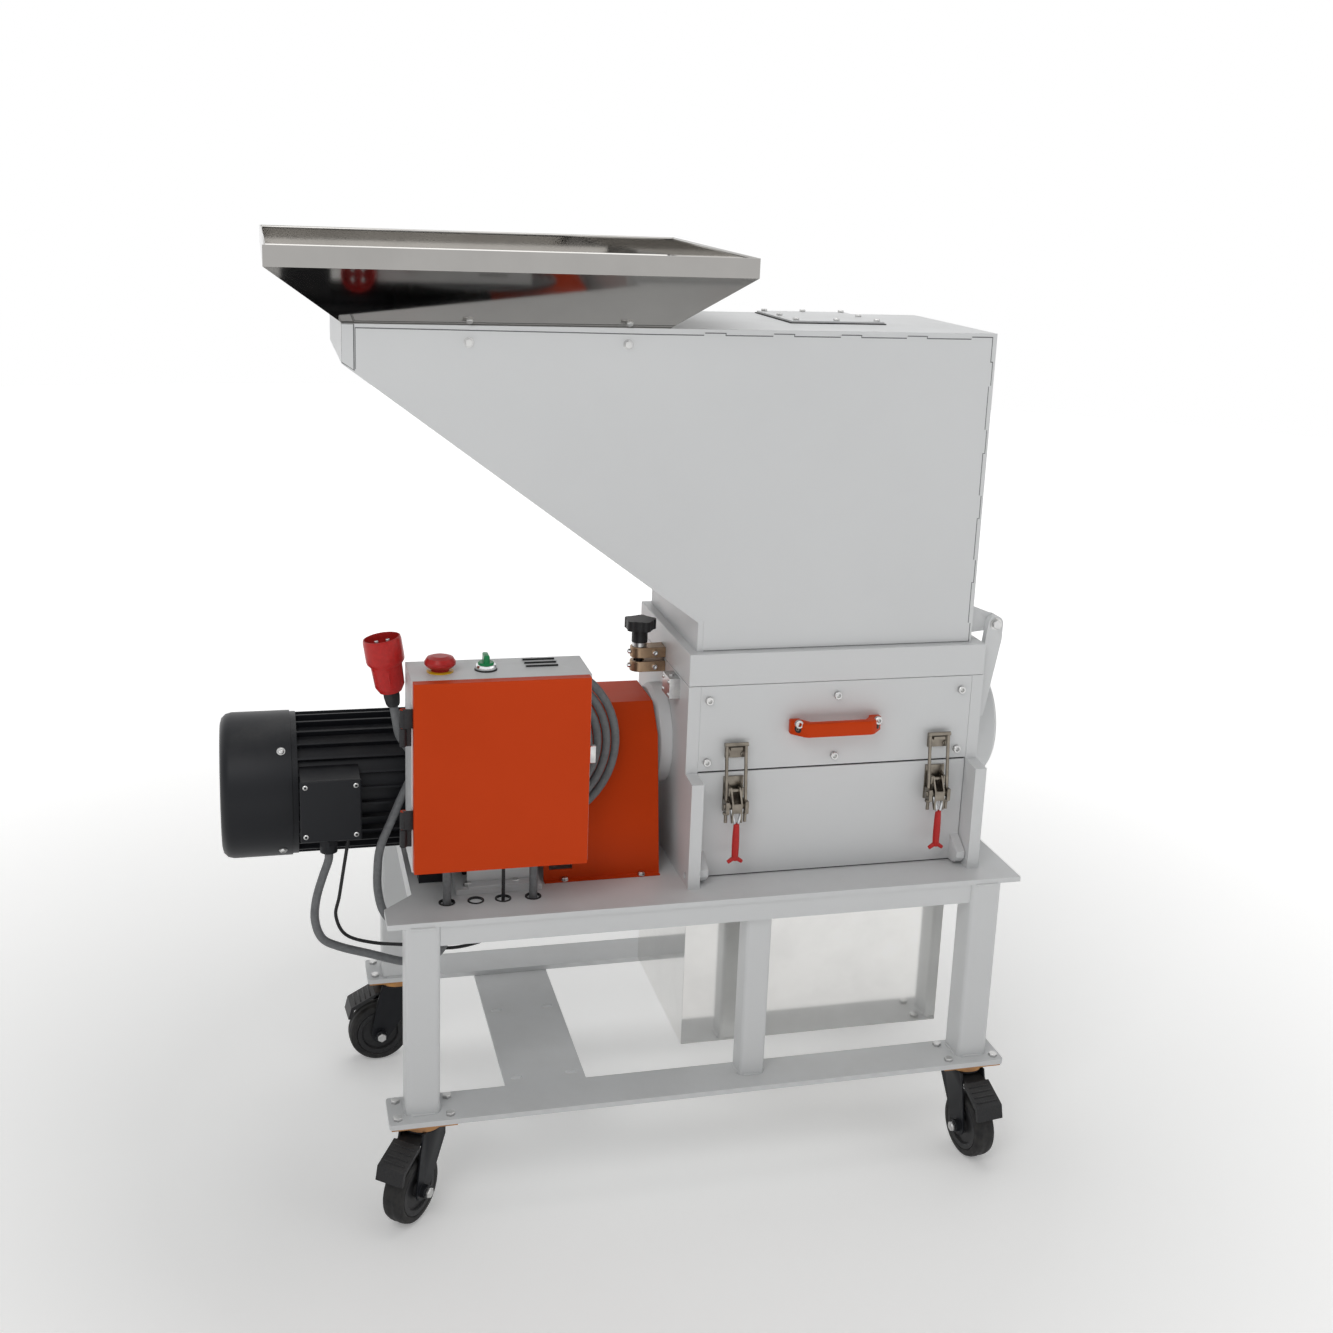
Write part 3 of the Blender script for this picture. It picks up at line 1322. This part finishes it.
@dataclass(frozen=True)
class Studio:
    """Camera at the photograph's angle, pale floor and soft light.

    Args:
        eye: The camera's place, in millimetres from the tabletop's corner.
        right: Its way to the right.
        up: Its way up.
        focal: Focal length in pixels of the photograph.
        centre: Pixel that the lens looks at.
        width: The photograph's width in pixels.
        sensor: The camera's sensor width in millimetres.
    """

    eye: Point = (-156.6, -2007.7, 987.4)
    right: Point = (0.967082, -0.251528, 0.038559)
    up: Point = (0.025852, 0.247858, 0.968451)
    focal: float = 1601.0
    centre: tuple[float, float] = (677.34, 589.30)
    width: float = 1333.0
    sensor: float = 36.0

    def build(self) -> None:
        """Makes the camera, the floor, the world and the lamps."""
        self.camera()
        self.floor()
        self.world()
        self.lamp("key", (-1.6, -2.4, 3.2), 1.8, 30)
        self.lamp("fill", (2.6, -1.6, 1.9), 2.2, 8)
        self.lamp("top", (0.2, 0.6, 3.4), 2.4, 30)
        scene = bpy.context.scene
        scene.view_settings.view_transform = "Standard"

    def camera(self) -> None:
        """Stands the camera where the photograph was taken."""
        data = bpy.data.cameras.new("camera")
        data.sensor_width = self.sensor
        data.lens = self.focal / self.width * self.sensor
        data.shift_x = (self.width / 2 - self.centre[0]) / self.width
        data.shift_y = (self.centre[1] - self.width / 2) / self.width
        data.clip_end = 50
        camera = bpy.data.objects.new("camera", data)
        bpy.context.scene.collection.objects.link(camera)
        right, up = Vector(self.right).normalized(), Vector(self.up).normalized()
        back = right.cross(up)
        turn = Matrix((right, up, back)).transposed().to_4x4()
        camera.matrix_world = Matrix.Translation(at(*self.eye)) @ turn
        bpy.context.scene.camera = camera

    def floor(self) -> None:
        """Lays the pale floor, which shows white away from the machine."""
        shaper = bmesh.new()
        bmesh.ops.create_circle(shaper, cap_ends=True, segments=96, radius=9.0)
        mesh = bpy.data.meshes.new("floor")
        shaper.to_mesh(mesh)
        shaper.free()
        floor = bpy.data.objects.new("floor", mesh)
        floor.location.z = -0.0005
        bpy.context.scene.collection.objects.link(floor)
        material, tree, shader = start_material("pale_floor")
        shader.inputs["Base Color"].default_value = (0.93, 0.93, 0.92, 1)
        shader.inputs["Roughness"].default_value = 0.7
        shader.inputs["Emission Color"].default_value = (1, 1, 1, 1)
        place = tree.nodes.new("ShaderNodeTexCoord")
        reach = tree.nodes.new("ShaderNodeVectorMath")
        reach.operation = "LENGTH"
        tree.links.new(place.outputs["Object"], reach.inputs[0])
        glow = ramp_node(tree, reach.outputs["Value"], 0.7, 3.2, 0.22, 1.0)
        tree.links.new(glow.outputs["Result"], shader.inputs["Emission Strength"])
        mesh.materials.append(material)

    def world(self) -> None:
        """White to the camera and in reflections, softer as light."""
        world = bpy.data.worlds.new("studio")
        bpy.context.scene.world = world
        world.use_nodes = True
        tree = world.node_tree
        background = tree.nodes["Background"]
        background.inputs["Color"].default_value = (1, 1, 1, 1)
        path = tree.nodes.new("ShaderNodeLightPath")
        seen = math_node(tree, "MAXIMUM", path.outputs["Is Camera Ray"], path.outputs["Is Glossy Ray"])
        either = math_node(tree, "MAXIMUM", seen.outputs[0], path.outputs["Is Transmission Ray"])
        strength = ramp_node(tree, either.outputs[0], 0.0, 1.0, 0.20, 1.0)
        tree.links.new(strength.outputs["Result"], background.inputs["Strength"])

    def lamp(self, name: str, place: Point, size: float, power: float) -> None:
        """Hangs a soft square lamp that faces the machine."""
        data = bpy.data.lights.new(name, "AREA")
        data.size = size
        data.energy = power
        lamp = bpy.data.objects.new(name, data)
        bpy.context.scene.collection.objects.link(lamp)
        aim = Vector((0, 0, 0.7)) - Vector(place)
        lamp.matrix_world = Matrix.Translation(place) @ aim.to_track_quat("-Z", "Y").to_matrix().to_4x4()


def main() -> None:
    """Builds the scene."""
    logging.basicConfig(level=logging.INFO, format="%(message)s")
    Plain().build()
    Studio().build()
    for part in (Cables(), Stand(), Chamber(), Hopper(), Interlock(), Drives(), Cabinet(), Casters()):
        part.build()


if __name__ == "__main__":
    main()
